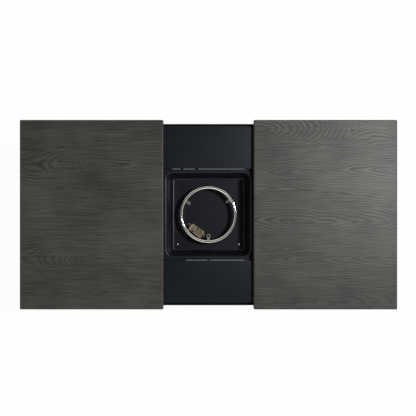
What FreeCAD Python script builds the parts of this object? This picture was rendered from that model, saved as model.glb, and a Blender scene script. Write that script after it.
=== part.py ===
import FreeCAD, Part
import math
import os

# A gas fire pit table. Its top is two leaves that roll apart on tracks and bare a pressed
# burner tray between two deck plates. Millimetres, +Z up. The origin lies on the floor under
# the middle of the table, +X runs along the table, the controls are at the front, -Y, and the
# tank door closes the +X end. The leaves are drawn open.

V = FreeCAD.Vector

# Overall and top leaves
table_height = 620.0
leaf_length = 613.0
leaf_depth = 810.0
leaf_thickness = 22.0
leaf_sheet = 1.5
leaf_return = 10.0
leaf_corner = 4.0
leaf_edge = 2.0
leaf_travel = 192.6
closed_gap = 1.0
leaf_overhang = 14.0
leaf_clearance = 4.0
rib_sheet = 1.2
rib_crown = 30.0
rib_brim = 18.0
rib_slope = 8.0
rib_first = 70.0
rib_pitch = 235.0
rib_count = 3
rib_end_gap = 0.5
rib_bend = 2.4
rib_brim_bend = 1.2

# Rollers, axles and carriages
roller_radius = 10.0
roller_width = 12.0
roller_first = 50.0
roller_float = 0.3
roller_hub_radius = 6.0
roller_face_depth = 1.5
roller_tread = 2.0
roller_edge = 1.0
axle_radius = 3.0
running_clearance = 0.05
axle_play = 0.15
axle_head_radius = 5.0
axle_head = 1.2
axle_shoulder_radius = 4.5
axle_stud_radius = 2.5
nut_thickness = 3.0
nut_across_flats = 8.0
carriage_sheet = 2.5
carriage_flange = 28.0
carriage_start = 20.0
carriage_past_roller = 18.0
carriage_strip = 14.0
carriage_ear = 36.0
ear_below_axle = 9.0
carriage_bend = 5.0

# Tracks
track_sheet = 2.0
track_bend = 2.5
track_depth = 20.0
track_lip = 3.0
track_side_gap = 1.5
track_top_gap = 6.0
plug_length = 8.0
plug_fit = 0.2
plug_flange = 1.5

# Frame
tube = 25.0
tube_wall = 1.5
tube_corner = 3.0
panel_sheet = 1.5
glide_height = 12.0
glide_radius = 13.0
glide_edge = 2.0
glide_stem = 15.0
glide_fit = 0.2
panel_lift = 2.0
panel_bend = 4.0
panel_fold = 25.0
panel_fold_gap = 0.5
panel_below_deck = 4.0
vent_length = 60.0
vent_width = 6.0
vent_pitch = 80.0
vent_count = 7
vent_inset = 60.0
rear_vent_pitch = 50.0
vent_flat = 0.5

# Deck plates and the gaps round them
deck_sheet = 1.5
deck_lift = 16.0
deck_slot = 10.5
deck_lip = 8.0
deck_seam = 0.8
deck_seam_skirt = 14.0
deck_seat = 20.0
deck_track_gap = 4.0
deck_edge = 1.2

# Burner tray
pan_sheet = 1.2
pan_flange_x = 416.0
pan_flange_y = 394.0
pan_flange_corner = 5.0
pan_mouth = 361.0
pan_floor = 326.0
pan_depth = 95.0
pan_corner = 30.0
pan_mouth_bend = 8.0
pan_floor_bend = 12.0
pan_rim_flat = 2.0
drain_x = 137.0
drain_y = -134.0
drain_radius = 3.0
bearer_gap = 0.5
rear_tabs = ((-115.0, 12.0), (-51.0, 18.0))
front_tabs = ((-128.0, 60.0),)

# Burner ring, its brackets and its inlet
ring_radius = 120.0
ring_tube_radius = 8.0
ring_wall = 1.2
ring_lift = 52.0
port_radius = 1.5
crest_width = 5.0
port_count = 36
bracket_angles = (34.0, 150.0)
bracket_width = 14.0
bracket_sheet = 1.5
bracket_foot = 18.0
bracket_seat = 0.4
bracket_bend = 2.5
bracket_rise = 4.0
screw_radius = 2.0
screw_head_radius = 4.5
screw_head = 2.5
screw_edge = 1.2
screw_length = 14.0
inlet_reach = 25.0
inlet_radius = 9.0
inlet_bore = 6.0
inlet_stub_radius = 6.5
inlet_hole_gap = 0.5
inlet_rise = 3.0
inlet_drop = 30.0
fitting_edge = 2.0
locknut_across_flats = 27.0
locknut_thickness = 8.0

# Air mixer and gas pipe
mixer_collar_radius = 11.5
mixer_bell = 40.0
mixer_bell_radius = 14.0
mixer_wall = 1.5
mixer_window_width = 8.0
mixer_window_height = 22.0
mixer_window_count = 4
mixer_nut = 12.0
mixer_nut_gap = 2.0
elbow_radius = 8.0
elbow_reach = 23.0
elbow_drop = 8.0
pipe_radius = 4.75
pipe_bend = 25.0

# Ignition shield with the electrode and the thermocouple
shield_x = -53.0
shield_y = -72.0
shield_turn = -36.4
shield_length = 66.0
shield_width = 32.0
shield_height = 52.0
shield_sheet = 0.8
shield_tab = 12.0
shield_tab_width = 16.0
shield_corner = 2.0
shield_slot_low = 17.0
shield_slot_width = 3.0
shield_slot_pitch = 8.5
shield_top_slots = 6
shield_side_slots = 5
shield_slot_margin = 5.0
probe_offset = 19.0
electrode_radius = 3.2
electrode_rise = 34.0
wire_radius = 1.2
wire_length = 9.0
thermocouple_radius = 2.5
thermocouple_rise = 42.0
probe_drop = 14.0
probe_hole_gap = 0.3
probe_collar_step = 1.6
probe_collar = 2.5
wire_bend = 2.4
lead_radius = 2.5
capillary_radius = 1.2
lead_bend = 10.0
capillary_bend = 20.0
lead_straight = 40.0
lead_slant = 20.0

# Control niche, valve, knob and igniter
niche_x = -95.0
niche_below_rail = 41.9
niche_width = 150.0
niche_height = 110.0
niche_depth = 53.0
niche_sheet = 1.5
niche_flange = 10.0
niche_corner = 8.0
knob_x = -62.0
button_x = -130.0
valve_radius = 16.0
valve_length = 38.0
valve_boss_radius = 8.5
valve_boss = 5.0
valve_hole_gap = 0.4
outlet_reach = 28.0
outlet_radius = 8.0
inlet_nipple_radius = 7.9
inlet_nipple = 12.0
inlet_boss = 28.0
inlet_boss_radius = 9.0
valve_edge = 2.0
bore_end_gap = 4.0
magnet_radius = 9.0
magnet_length = 26.0
magnet_seat = 2.0
stem_radius = 4.0
stem_inside = 20.5
stem_in_knob = 13.0
rod_radius = 2.5
rod_length = 16.0
push_travel = 4.0
knob_radius = 23.0
knob_length = 26.0
knob_gap = 6.0
knob_grip_width = 10.0
knob_grip_depth = 12.0
knob_draft = 2.0
knob_grip_inset = 1.0
knob_edge = 1.5
mark_width = 1.6
mark_length = 7.0
mark_depth = 0.6
mark_inset = 2.0
igniter_radius = 9.5
igniter_length = 52.0
igniter_collar_radius = 12.0
igniter_collar = 5.0
igniter_edge = 1.5
button_radius = 7.5
button_clearance = 0.08
button_out = 9.0
button_seat = 0.5
button_seat_gap = 0.4
button_travel = 6.0
plunger_radius = 3.0
plunger_length = 16.0

# Partitions, hose grommet and tank tray
partition_sheet = 1.2
partition_flange = 20.0
partition_bend = 2.4
partition_lift = 8.0
grommet_y = -300.0
grommet_z = 330.0
grommet_bore = 9.0
grommet_radius = 16.0
grommet_lip = 3.0
grommet_groove = 2.0
tank_x = 385.0
tank_tray_side = 330.0
tank_tray_sheet = 1.5
tank_tray_corner = 10.0
tank_rim_radius = 117.0
tank_rim = 15.0
tank_hole_radius = 60.0
tank_rail_offset = 120.0

# Tank door, hinges, catch and pull
door_gap = 0.5
door_side_gap = 1.0
door_lift = 4.0
door_top_gap = 2.0
door_stiffener_depth = 12.0
door_stiffener_width = 40.0
door_stiffener_inset = 150.0
door_stiffener_crown = 14.0
door_stiffener_mouth = 20.0
door_stiffener_end_gap = 2.0
stiffener_bend = 1.5
stiffener_brim_bend = 3.0
hinge_radius = 5.0
hinge_pin_radius = 2.5
hinge_sheet = 1.5
hinge_height = 60.0
hinge_leaf = 36.0
hinge_inset = 90.0
hinge_axial_gap = 0.4
hinge_edge_gap = 1.0
hinge_leaf_gap = 1.0
hinge_pin_head_radius = 4.0
hinge_pin_head = 1.5
catch_length = 40.0
catch_depth = 12.0
catch_width = 20.0
catch_gap = 0.3
strike_sheet = 1.0
strike_inset = 1.0
pull_spacing = 96.0
pull_radius = 5.0
pull_reach = 28.0
pull_inset = 45.0
pull_below_rail = 206.9
pull_bend = 15.0

# How far every cutter runs past the face it opens
past = 1.0

# Levels worked out from the sizes above
leaf_top = table_height
leaf_bottom = leaf_top - leaf_thickness
deck_top = leaf_bottom - leaf_clearance
flange_top = deck_top - deck_lift
bearer_top = flange_top - pan_sheet
bearer_bottom = bearer_top - tube
track_top = deck_top - deck_sheet - track_top_gap
track_height = 2 * (roller_radius + roller_float + track_sheet)
track_bottom = track_top - track_height
axle_z = track_bottom + track_height / 2
frame_top = track_bottom
rail_low = frame_top - tube
niche_z = rail_low - niche_below_rail - niche_height / 2
pull_z = rail_low - pull_below_rail
base_top = glide_height + tube
pan_floor_z = flange_top - pan_depth
pan_under_z = pan_floor_z - pan_sheet
ring_z = pan_floor_z + ring_lift
panel_low = glide_height + panel_lift
panel_high = deck_top - panel_below_deck

# Places along and across the table
body_x = leaf_length + closed_gap / 2 - leaf_overhang
body_y = leaf_depth / 2 - leaf_overhang
leaf_inner = closed_gap / 2 + leaf_travel
post_x = body_x - panel_sheet
post_y = body_y - panel_sheet
rail_x = post_x - tube
rail_y = post_y - tube
deck_outer = post_y - deck_slot
deck_inner = pan_flange_y / 2 + deck_seam
bearer_inner = pan_mouth / 2 + pan_mouth_bend + bearer_gap
deck_x = bearer_inner + deck_seat
track_outer = deck_outer - deck_sheet - track_side_gap
track_web = track_outer - track_depth
roller_middle = (track_web + track_sheet + track_outer - track_sheet) / 2
leg_inner = deck_outer + (deck_slot - carriage_sheet - nut_thickness) / 2
leg_outer = leg_inner + carriage_sheet
track_end = rail_x
roller_last = track_end - plug_length - roller_radius - roller_float - leaf_inner
niche_back = -body_y + niche_depth
valve_y = niche_back + niche_sheet + valve_length / 2
hinge_x = body_x + door_gap + hinge_radius
hinge_y = body_y + hinge_sheet - hinge_radius
inlet_y = -(ring_radius - inlet_reach)
mixer_bottom = pan_under_z - inlet_drop - mixer_bell - mixer_nut
pipe_z = mixer_bottom - elbow_drop


def box(x0, x1, y0, y1, z0, z1):
    """A block between two corners."""
    return Part.makeBox(x1 - x0, y1 - y0, z1 - z0, V(x0, y0, z0))


def rod(start, direction, radius, length):
    """A round bar from a point along a direction."""
    return Part.makeCylinder(radius, length, start, direction)


def hexagon(start, direction, across_flats, length):
    """A hexagonal prism from a point along a direction."""
    corner = across_flats / math.sqrt(3)
    turns = [k * math.pi / 3 for k in range(7)]
    points = [V(corner * math.cos(turn), corner * math.sin(turn), 0) for turn in turns]
    prism = Part.Face(Part.makePolygon(points)).extrude(V(0, 0, length))
    prism.Placement = FreeCAD.Placement(start, FreeCAD.Rotation(V(0, 0, 1), direction))
    return prism


def mirrored(shape, normal):
    """The shape on the other side of the plane through the origin."""
    return shape.mirror(V(0, 0, 0), normal)


def both_sides(shape, normal):
    """The shape and its mirror image."""
    return [shape, mirrored(shape, normal)]


def four_corners(shape):
    """The shape in all four quarters of the plan."""
    pair = both_sides(shape, V(1, 0, 0))
    return pair + [mirrored(piece, V(0, 1, 0)) for piece in pair]


def square_tube(x0, x1, y0, y1, z0, z1):
    """A hollow square tube with rounded corners, whose long side is its length."""
    spans = [x1 - x0, y1 - y0, z1 - z0]
    along = spans.index(max(spans))
    inset = [tube_wall, tube_wall, tube_wall]
    inset[along] = 0
    outer = box(x0, x1, y0, y1, z0, z1)
    bore = box(x0 + inset[0], x1 - inset[0], y0 + inset[1], y1 - inset[1], z0 + inset[2], z1 - inset[2])
    outer = outer.makeFillet(tube_corner, edges_along(outer, along))
    return outer.cut(bore.makeFillet(tube_corner - tube_wall, edges_along(bore, along)))


def edges_along(shape, axis):
    """The straight edges of a shape that run along X, Y or Z, given as 0, 1 or 2."""
    found = []
    for edge in shape.Edges:
        step = edge.Vertexes[-1].Point - edge.Vertexes[0].Point
        if abs(step[axis]) > 1e-6 and abs(abs(step[axis]) - step.Length) < 1e-6:
            found.append(edge)
    return found


def edges_at_height(shape, z):
    """The edges that lie in a level plane."""
    return [e for e in shape.Edges if abs(e.BoundBox.ZMin - z) < 1e-6 and abs(e.BoundBox.ZMax - z) < 1e-6]


def edges_at_front(shape, y):
    """The edges that lie in an upright plane across the table."""
    return [e for e in shape.Edges if abs(e.BoundBox.YMin - y) < 1e-6 and abs(e.BoundBox.YMax - y) < 1e-6]


def rounded_block(x0, x1, y0, y1, z0, z1, corner):
    """A block with rounded upright corners."""
    block = box(x0, x1, y0, y1, z0, z1)
    return block.makeFillet(corner, edges_along(block, 2))


def rounded_block_y(x0, x1, y0, y1, z0, z1, corner):
    """A block with its four edges along Y rounded."""
    block = box(x0, x1, y0, y1, z0, z1)
    return block.makeFillet(corner, edges_along(block, 1))


def run_edges(points, radii):
    """Straight edges through the points, each middle point rounded to its radius."""
    edges = []
    start = points[0]
    for before, corner, after, radius in zip(points, points[1:], points[2:], radii):
        back = (before - corner).normalize()
        onward = (after - corner).normalize()
        half_angle = back.getAngle(onward) / 2
        reach = radius / math.tan(half_angle)
        first = corner + back * reach
        last = corner + onward * reach
        inward = (back + onward).normalize()
        middle = corner + inward * (radius / math.sin(half_angle) - radius)
        edges.append(Part.LineSegment(start, first).toShape())
        edges.append(Part.Arc(first, middle, last).toShape())
        start = last
    edges.append(Part.LineSegment(start, points[-1]).toShape())
    return edges


def sheet_face(run, bends, thickness, place):
    """The cross-section of a bent sheet: a run of (u, v) points with its bend radii, and the
    same run moved to its left by the thickness, joined by square ends."""
    normals = []
    for (u0, v0), (u1, v1) in zip(run, run[1:]):
        length = math.hypot(u1 - u0, v1 - v0)
        normals.append(((v0 - v1) / length, (u1 - u0) / length))
    mitres = [normals[0]]
    turns = []
    for (a, b), (c, d) in zip(normals, normals[1:]):
        scale = 1 / (1 + a * c + b * d)
        mitres.append(((a + c) * scale, (b + d) * scale))
        turns.append(math.copysign(1, a * d - b * c))
    mitres.append(normals[-1])
    moved = [(u + thickness * a, v + thickness * b) for (u, v), (a, b) in zip(run, mitres)]
    far_bends = [bend - turn * thickness for bend, turn in zip(bends, turns)]
    near = [place(u, v) for u, v in run]
    far = [place(u, v) for u, v in moved]
    far.reverse()
    far_bends.reverse()
    edges = run_edges(near, bends)
    edges.append(Part.LineSegment(near[-1], far[0]).toShape())
    edges += run_edges(far, far_bends)
    edges.append(Part.LineSegment(far[-1], near[0]).toShape())
    return Part.Face(Part.Wire(edges))


def in_yz(x):
    """Places section points (y, z) at a station along the table."""
    return lambda y, z: V(x, y, z)


def in_xz(y):
    """Places section points (x, z) at a station across the table."""
    return lambda x, z: V(x, y, z)


def in_xy(z):
    """Places section points (x, y) at a level."""
    return lambda x, y: V(x, y, z)


def bent_tube(points, bend, radius):
    """A round pipe along straight runs joined by tangent bends."""
    edges = run_edges(points, [bend] * (len(points) - 2))
    spine = Part.Wire(edges)
    section = Part.Wire([Part.makeCircle(radius, points[0], points[1] - points[0])])
    return spine.makePipeShell([section], True, False)


def save(name, shapes):
    """Writes one node from a list of solids."""
    solids = [solid for shape in shapes for solid in shape.Solids]
    for solid in solids:
        if not solid.isValid():
            print("invalid solid in", name)
    node = solids[0] if len(solids) == 1 else Part.makeCompound(solids)
    node.exportStep("parts/" + name + ".step")


def leaf_shell():
    """The right leaf: a folded steel top with a skirt and a return all round."""
    x0, x1 = leaf_inner, leaf_inner + leaf_length
    y1 = leaf_depth / 2
    outer = rounded_block(x0, x1, -y1, y1, leaf_bottom, leaf_top, leaf_corner)
    outer = outer.makeFillet(leaf_edge, edges_at_height(outer, leaf_top))
    t = leaf_sheet
    hollow = rounded_block(
        x0 + t, x1 - t, -y1 + t, y1 - t, leaf_bottom + t, leaf_top - t, leaf_corner - t
    )
    r = t + leaf_return
    mouth = box(x0 + r, x1 - r, -y1 + r, y1 - r, leaf_bottom - past, leaf_bottom + t + past)
    return outer.cut(hollow).cut(mouth)


def leaf_ribs():
    """Hat-section ribs under the right leaf, from skirt to skirt."""
    low = leaf_bottom + leaf_sheet
    high = leaf_top - leaf_sheet - rib_sheet
    half_crown = rib_crown / 2
    half_brim = half_crown + rib_slope + rib_brim
    y1 = leaf_depth / 2 - leaf_sheet - rib_end_gap
    ribs = []
    for k in range(rib_count):
        x = leaf_inner + rib_first + k * rib_pitch
        run = [
            (x - half_brim, high),
            (x - half_crown - rib_slope, high),
            (x - half_crown, low),
            (x + half_crown, low),
            (x + half_crown + rib_slope, high),
            (x + half_brim, high),
        ]
        bends = [rib_brim_bend, rib_bend, rib_bend, rib_brim_bend]
        section = sheet_face(run, bends, rib_sheet, in_xz(-y1))
        ribs.append(section.extrude(V(0, 2 * y1, 0)))
    return ribs


def carriage():
    """The right leaf's rear carriage: an angle under the ribs whose upright leg goes down
    through the slot beside the deck, with an ear at each roller."""
    x0 = leaf_inner + carriage_start
    x1 = leaf_inner + roller_last + carriage_past_roller
    top = leaf_bottom + leaf_sheet
    low = axle_z - ear_below_axle
    run = [(leg_outer, low), (leg_outer, top), (leg_outer - carriage_flange, top)]
    angle = sheet_face(run, [carriage_bend], carriage_sheet, in_yz(x0))
    angle = angle.extrude(V(x1 - x0, 0, 0))
    strip_low = top - carriage_strip
    slope = (strip_low - low) / 2
    a = leaf_inner + roller_first + carriage_ear / 2
    b = leaf_inner + roller_last - carriage_ear / 2
    points = [(a - slope, low - past), (a, strip_low), (b, strip_low), (b + slope, low - past)]
    corners = [V(u, leg_inner - past, v) for u, v in points]
    notch = Part.Face(Part.makePolygon(corners + [corners[0]])).extrude(V(0, carriage_sheet + 2 * past, 0))
    angle = angle.cut(notch)
    for first in (roller_first, roller_last):
        start = V(leaf_inner + first, leg_inner - past, axle_z)
        angle = angle.cut(rod(start, V(0, 1, 0), axle_stud_radius, carriage_sheet + 2 * past))
    return angle


def roller_solid(x):
    """A nylon roller of the rear track, with a raised hub on its faces and a plain bore."""
    half = roller_width / 2
    start = V(x, roller_middle - half, axle_z)
    wheel = rod(start, V(0, 1, 0), roller_radius, roller_width)
    wheel = wheel.makeFillet(roller_edge, [e for e in wheel.Edges if e.Curve.TypeId == "Part::GeomCircle"])
    for face_y in (roller_middle - half, roller_middle + half - roller_face_depth):
        groove = rod(V(x, face_y, axle_z), V(0, 1, 0), roller_radius - roller_tread, roller_face_depth)
        groove = groove.cut(rod(V(x, face_y, axle_z), V(0, 1, 0), roller_hub_radius, roller_face_depth))
        wheel = wheel.cut(groove)
    return wheel.cut(rod(start, V(0, 1, 0), axle_radius + running_clearance, roller_width))


def axle(x):
    """A shouldered axle of the rear track: head, running shank, shoulder and stud."""
    half = roller_width / 2 + axle_play
    inner, outer = roller_middle - half, roller_middle + half
    y = V(0, 1, 0)
    head = rod(V(x, inner - axle_head, axle_z), y, axle_head_radius, axle_head)
    shank = rod(V(x, inner, axle_z), y, axle_radius, outer - inner)
    shoulder = rod(V(x, outer, axle_z), y, axle_shoulder_radius, leg_inner - outer)
    stud = rod(V(x, leg_inner, axle_z), y, axle_stud_radius, carriage_sheet + nut_thickness)
    return head.fuse([shank, shoulder, stud])


def axle_nut(x):
    """The nut on an axle's stud, outside the carriage leg."""
    nut = hexagon(V(x, leg_outer, axle_z), V(0, 1, 0), nut_across_flats, nut_thickness)
    return nut.cut(rod(V(x, leg_outer, axle_z), V(0, 1, 0), axle_stud_radius, nut_thickness))


def rear_track():
    """The rear roller track: a lipped channel that opens outwards, end to end of the body."""
    low, high = track_bottom, track_top
    run = [
        (track_outer, low + track_sheet + track_lip),
        (track_outer, low),
        (track_web, low),
        (track_web, high),
        (track_outer, high),
        (track_outer, high - track_sheet - track_lip),
    ]
    bends = [track_bend] * 4
    run.reverse()
    section = sheet_face(run, bends, track_sheet, in_yz(-track_end))
    return section.extrude(V(2 * track_end, 0, 0))


def end_plug():
    """A moulded stop in the rear track's right end, with a flange on the end face."""
    inset = track_sheet + plug_fit
    stop = box(
        track_end - plug_length, track_end,
        track_web + inset, track_outer - inset,
        track_bottom + inset, track_top - inset,
    )
    flange_end = track_end + plug_flange
    return stop.fuse(box(track_end, flange_end, track_web, track_outer, track_bottom, track_top))


def corner_post():
    """One upright of the frame."""
    return square_tube(rail_x, post_x, rail_y, post_y, glide_height, frame_top)


def glide():
    """A moulded foot: a disc under the post with a stem pushed up into it."""
    x, y = (rail_x + post_x) / 2, (rail_y + post_y) / 2
    disc = rod(V(x, y, 0), V(0, 0, 1), glide_radius, glide_height)
    disc = disc.makeFillet(glide_edge, edges_at_height(disc, glide_height))
    half = tube / 2 - tube_wall - glide_fit
    low, high = glide_height / 2, glide_height + glide_stem
    stem = rounded_block(x - half, x + half, y - half, y + half, low, high, tube_corner - tube_wall)
    return disc.fuse(stem)


def rail_ring(z0):
    """Four rails between the posts, with their underside at a level."""
    long_rail = square_tube(-rail_x, rail_x, rail_y, post_y, z0, z0 + tube)
    end_rail = square_tube(rail_x, post_x, -rail_y, rail_y, z0, z0 + tube)
    return both_sides(long_rail, V(0, 1, 0)) + both_sides(end_rail, V(1, 0, 0))


def bearer():
    """The right tray bearer, between the webs of the two tracks."""
    x0 = bearer_inner
    return square_tube(x0, x0 + tube, -track_web, track_web, bearer_bottom, bearer_top)


def partition():
    """The right inner wall between the burner bay and the tank, with a foot flange, air holes
    near its top and a hole for the gas hose."""
    low = glide_height + partition_lift
    x = bearer_inner
    run = [(x, bearer_bottom), (x, low), (x + partition_flange, low)]
    wall = sheet_face(run, [partition_bend], partition_sheet, in_xz(-rail_y))
    wall = wall.extrude(V(0, 2 * rail_y, 0))
    for k in range(vent_count):
        y = (k - (vent_count - 1) / 2) * vent_pitch
        wall = wall.cut(vent_cutter(y, bearer_bottom - vent_inset / 2, x))
    return wall


def vent_cutter(y, z, x):
    """A round-ended slot through a wall square to X."""
    half = vent_length / 2 - vent_width / 2
    depth = 4 * panel_sheet
    start = x - depth / 2
    slot = box(start, start + depth, y - half, y + half, z - vent_width / 2, z + vent_width / 2)
    ends = [rod(V(start, y + s * half, z), V(1, 0, 0), vent_width / 2, depth) for s in (-1, 1)]
    return slot.fuse(ends)


def end_skin(x0, z0, z1, y0, y1):
    """A flat end sheet with a row of air slots near its top and its bottom."""
    skin = box(x0, x0 + panel_sheet, y0, y1, z0, z1)
    for z in (z0 + vent_inset, frame_top - tube - vent_inset / 2):
        for k in range(vent_count):
            y = (k - (vent_count - 1) / 2) * vent_pitch
            skin = skin.cut(vent_cutter(y, z, x0 + panel_sheet / 2))
    return skin


def side_sheet():
    """The rear side sheet, folded round the left rear post."""
    run = [(body_x, body_y), (-body_x, body_y), (-body_x, body_y - panel_fold)]
    section = sheet_face(run, [panel_bend], panel_sheet, in_xy(panel_low))
    return section.extrude(V(0, 0, panel_high - panel_low))


def rear_panel():
    """The rear side sheet, with two groups of upright air slots near its bottom."""
    panel = side_sheet()
    half = vent_width / 2
    low = base_top + vent_inset / 2
    for side in (-1, 1):
        for k in range(vent_count):
            x = side * (bearer_inner + rail_x) / 2 + (k - (vent_count - 1) / 2) * rear_vent_pitch
            slot = rounded_block_y(
                x - half, x + half, post_y - past, body_y + past, low, low + vent_length, half - vent_flat
            )
            panel = panel.cut(slot)
    return panel


def front_panel():
    """The front side sheet with the opening for the control niche."""
    return mirrored(side_sheet(), V(0, 1, 0)).cut(niche_block(0, -body_y - past, -post_y + past))


def niche_block(grow, y0, y1):
    """A rounded block as wide and high as the niche, grown by an amount, between two Y
    stations."""
    w, h = niche_width / 2 + grow, niche_height / 2 + grow
    return rounded_block_y(niche_x - w, niche_x + w, y0, y1, niche_z - h, niche_z + h, niche_corner + grow)


def niche():
    """The pressed control niche: a box open to the front with a flange behind the panel."""
    back, t = niche_back, niche_sheet
    shell = niche_block(t, -post_y, back + t).fuse(niche_block(niche_flange, -post_y, -post_y + t))
    shell = shell.cut(niche_block(0, -post_y - past, back))
    y = V(0, 1, 0)
    through = t + 2 * past
    shell = shell.cut(rod(V(knob_x, back - past, niche_z), y, valve_boss_radius + valve_hole_gap, through))
    return shell.cut(rod(V(button_x, back - past, niche_z), y, igniter_radius, through))


def deck_plate():
    """The rear deck plate: a folded sheet that stands on the bearers by its end skirts and
    has a deep skirt along the tray and a short lip along the slot."""
    x1 = deck_x
    t = deck_sheet
    plate = box(-x1, x1, deck_inner, deck_outer, deck_top - t, deck_top)
    seam = box(-x1, x1, deck_inner, deck_inner + t, deck_top - deck_seam_skirt, deck_top)
    lip = box(-x1, x1, deck_outer - t, deck_outer, deck_top - deck_lip, deck_top)
    skirts = [
        box(x1 - t, x1, deck_inner, track_web - deck_track_gap, bearer_top, deck_top),
        box(-x1, -x1 + t, deck_inner, track_web - deck_track_gap, bearer_top, deck_top),
    ]
    folded = plate.fuse([seam, lip] + skirts).removeSplitter()
    return folded.makeFillet(deck_edge, edges_at_height(folded, deck_top))


def rounded_square_ring(profile, half, corner):
    """Carries a section round a rounded square. The section lies in the XZ plane and its x is
    measured from the corner's centre line."""
    straight = half - corner
    pieces = []
    side = profile.copy()
    side.translate(V(straight, -straight, 0))
    side = side.extrude(V(0, 2 * straight, 0))
    turn = profile.revolve(V(0, 0, 0), V(0, 0, 1), 90)
    turn.translate(V(straight, straight, 0))
    for k in range(4):
        for piece in (side, turn):
            placed = piece.copy()
            placed.rotate(V(0, 0, 0), V(0, 0, 1), 90 * k)
            pieces.append(placed)
    return pieces


def locating_tabs():
    """Tabs of the tray's flange that reach in under the deck plates' skirts, from the middle
    and the width of each."""
    edge, reach = pan_flange_y / 2 - past, deck_inner + deck_sheet
    spans = [(x, width, edge, reach) for x, width in rear_tabs]
    spans += [(x, width, -reach, -edge) for x, width in front_tabs]
    return [box(x - w / 2, x + w / 2, y0, y1, bearer_top, flange_top) for x, w, y0, y1 in spans]


def burner_tray():
    """The pressed square tray: flange, drawn bowl with soft bends and a flat floor."""
    mouth, floor = pan_mouth / 2, pan_floor / 2
    centre = mouth - pan_corner
    rim = pan_corner + pan_mouth_bend + pan_rim_flat
    run = [(0, pan_floor_z), (floor - centre, pan_floor_z), (pan_corner, flange_top), (rim, flange_top)]
    bends = [pan_floor_bend, pan_mouth_bend]
    run.reverse()
    bends.reverse()
    section = sheet_face(run, bends, pan_sheet, in_xz(0))
    walls = rounded_square_ring(section, mouth, pan_corner)
    floor_sheet = box(-centre, centre, -centre, centre, pan_under_z, pan_floor_z)
    x1, y1 = pan_flange_x / 2, pan_flange_y / 2
    flange = rounded_block(-x1, x1, -y1, y1, bearer_top, flange_top, pan_flange_corner)
    inside = centre + rim
    low, high = bearer_top - past, flange_top + past
    flange = flange.cut(rounded_block(-inside, inside, -inside, inside, low, high, rim))
    tray = walls[0].fuse(walls[1:] + [floor_sheet, flange] + locating_tabs()).removeSplitter()
    places = [(side * drain_x, drain_y, drain_radius) for side in (-1, 1)]
    places.append((0, inlet_y, inlet_radius + inlet_hole_gap))
    places += [(x, y, radius + probe_hole_gap) for x, y, radius in probe_places()]
    places += [(x, y, screw_radius) for x, y, sheet in screw_places()]
    high, through = pan_floor_z + past, pan_sheet + 2 * past
    return tray.cut([rod(V(x, y, high), V(0, 0, -1), radius, through) for x, y, radius in places])


def polar(radius, angle):
    """A plan point by radius and angle in degrees."""
    return radius * math.cos(math.radians(angle)), radius * math.sin(math.radians(angle))


def shield_point(along, across):
    """A plan point measured from the shield's middle along and across it."""
    turn = math.radians(shield_turn)
    x = shield_x + along * math.cos(turn) - across * math.sin(turn)
    y = shield_y + along * math.sin(turn) + across * math.cos(turn)
    return x, y


def probe_places():
    """Plan place and radius of the thermocouple and the electrode."""
    thermo = shield_point(-probe_offset, 0)
    spark = shield_point(probe_offset, 0)
    return [(thermo[0], thermo[1], thermocouple_radius), (spark[0], spark[1], electrode_radius)]


def screw_places():
    """Plan place of each screw in the tray's floor and the sheet thickness under its head."""
    foot_middle = ring_radius - ring_tube_radius - bracket_foot / 2 - bracket_sheet
    places = [polar(foot_middle, angle) + (bracket_sheet,) for angle in bracket_angles]
    reach = shield_length / 2 + shield_tab / 2
    places += [shield_point(side * reach, 0) + (shield_sheet,) for side in (-1, 1)]
    return places


def pan_screws():
    """Pan-head screws that hold the ring brackets and the shield to the tray."""
    screws = []
    for x, y, lift in screw_places():
        top = pan_floor_z + lift
        head = rod(V(x, y, top), V(0, 0, 1), screw_head_radius, screw_head)
        head = head.makeFillet(screw_edge, edges_at_height(head, top + screw_head))
        screws.append(head.fuse(rod(V(x, y, top), V(0, 0, -1), screw_radius, screw_length)))
    return screws


def turned(outline, angle):
    """Turns a section that lies in the XZ plane about the middle of the table."""
    return Part.Face(Part.Wire(outline)).revolve(V(0, 0, 0), V(0, 0, 1), angle)


def burner_ring():
    """The stainless ring: a tube bent to a circle with a row of flame ports along its crest.
    It is made of one short arc with one port, repeated all round."""
    step = 360 / port_count
    middle = V(ring_radius, 0, ring_z)
    arc = turned([Part.makeCircle(ring_tube_radius, middle, V(0, 1, 0))], step)
    arc = arc.cut(turned([Part.makeCircle(ring_tube_radius - ring_wall, middle, V(0, 1, 0))], step))
    half, high = crest_width / 2, ring_tube_radius + past
    corners = [middle + V(u, 0, v) for u, v in ((-half, 0), (half, 0), (half, high), (-half, high), (-half, 0))]
    zone = turned(Part.makePolygon(corners).Edges, step)
    x, y = polar(ring_radius, step / 2)
    port = rod(V(x, y, ring_z), V(0, 0, 1), port_radius, high)
    arc = arc.cut(zone).fuse(arc.common(zone).cut(port))
    arcs = []
    for k in range(port_count):
        placed = arc.copy()
        placed.rotate(V(0, 0, 0), V(0, 0, 1), k * step)
        arcs.append(placed)
    entry = rod(V(0, -ring_radius, ring_z), V(0, 1, 0), inlet_bore - ring_wall, high)
    return arcs[0].fuse(arcs[1:]).cut(entry)


def ring_bracket(angle):
    """A bent strip from a foot on the tray floor up to the inner side of the ring."""
    outer = ring_radius - ring_tube_radius + bracket_seat
    high = ring_z + bracket_rise
    run = [(outer - bracket_sheet - bracket_foot, pan_floor_z), (outer, pan_floor_z), (outer, high)]
    section = sheet_face(run, [bracket_bend], bracket_sheet, in_xz(-bracket_width / 2))
    strip = section.extrude(V(0, bracket_width, 0))
    strip.rotate(V(0, 0, 0), V(0, 0, 1), angle)
    strip = strip.cut(Part.makeTorus(ring_radius, ring_tube_radius, V(0, 0, ring_z)))
    x, y = polar(ring_radius - ring_tube_radius - bracket_foot / 2 - bracket_sheet, angle)
    return strip.cut(rod(V(x, y, pan_floor_z - past), V(0, 0, 1), screw_radius, bracket_sheet + 2 * past))


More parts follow.
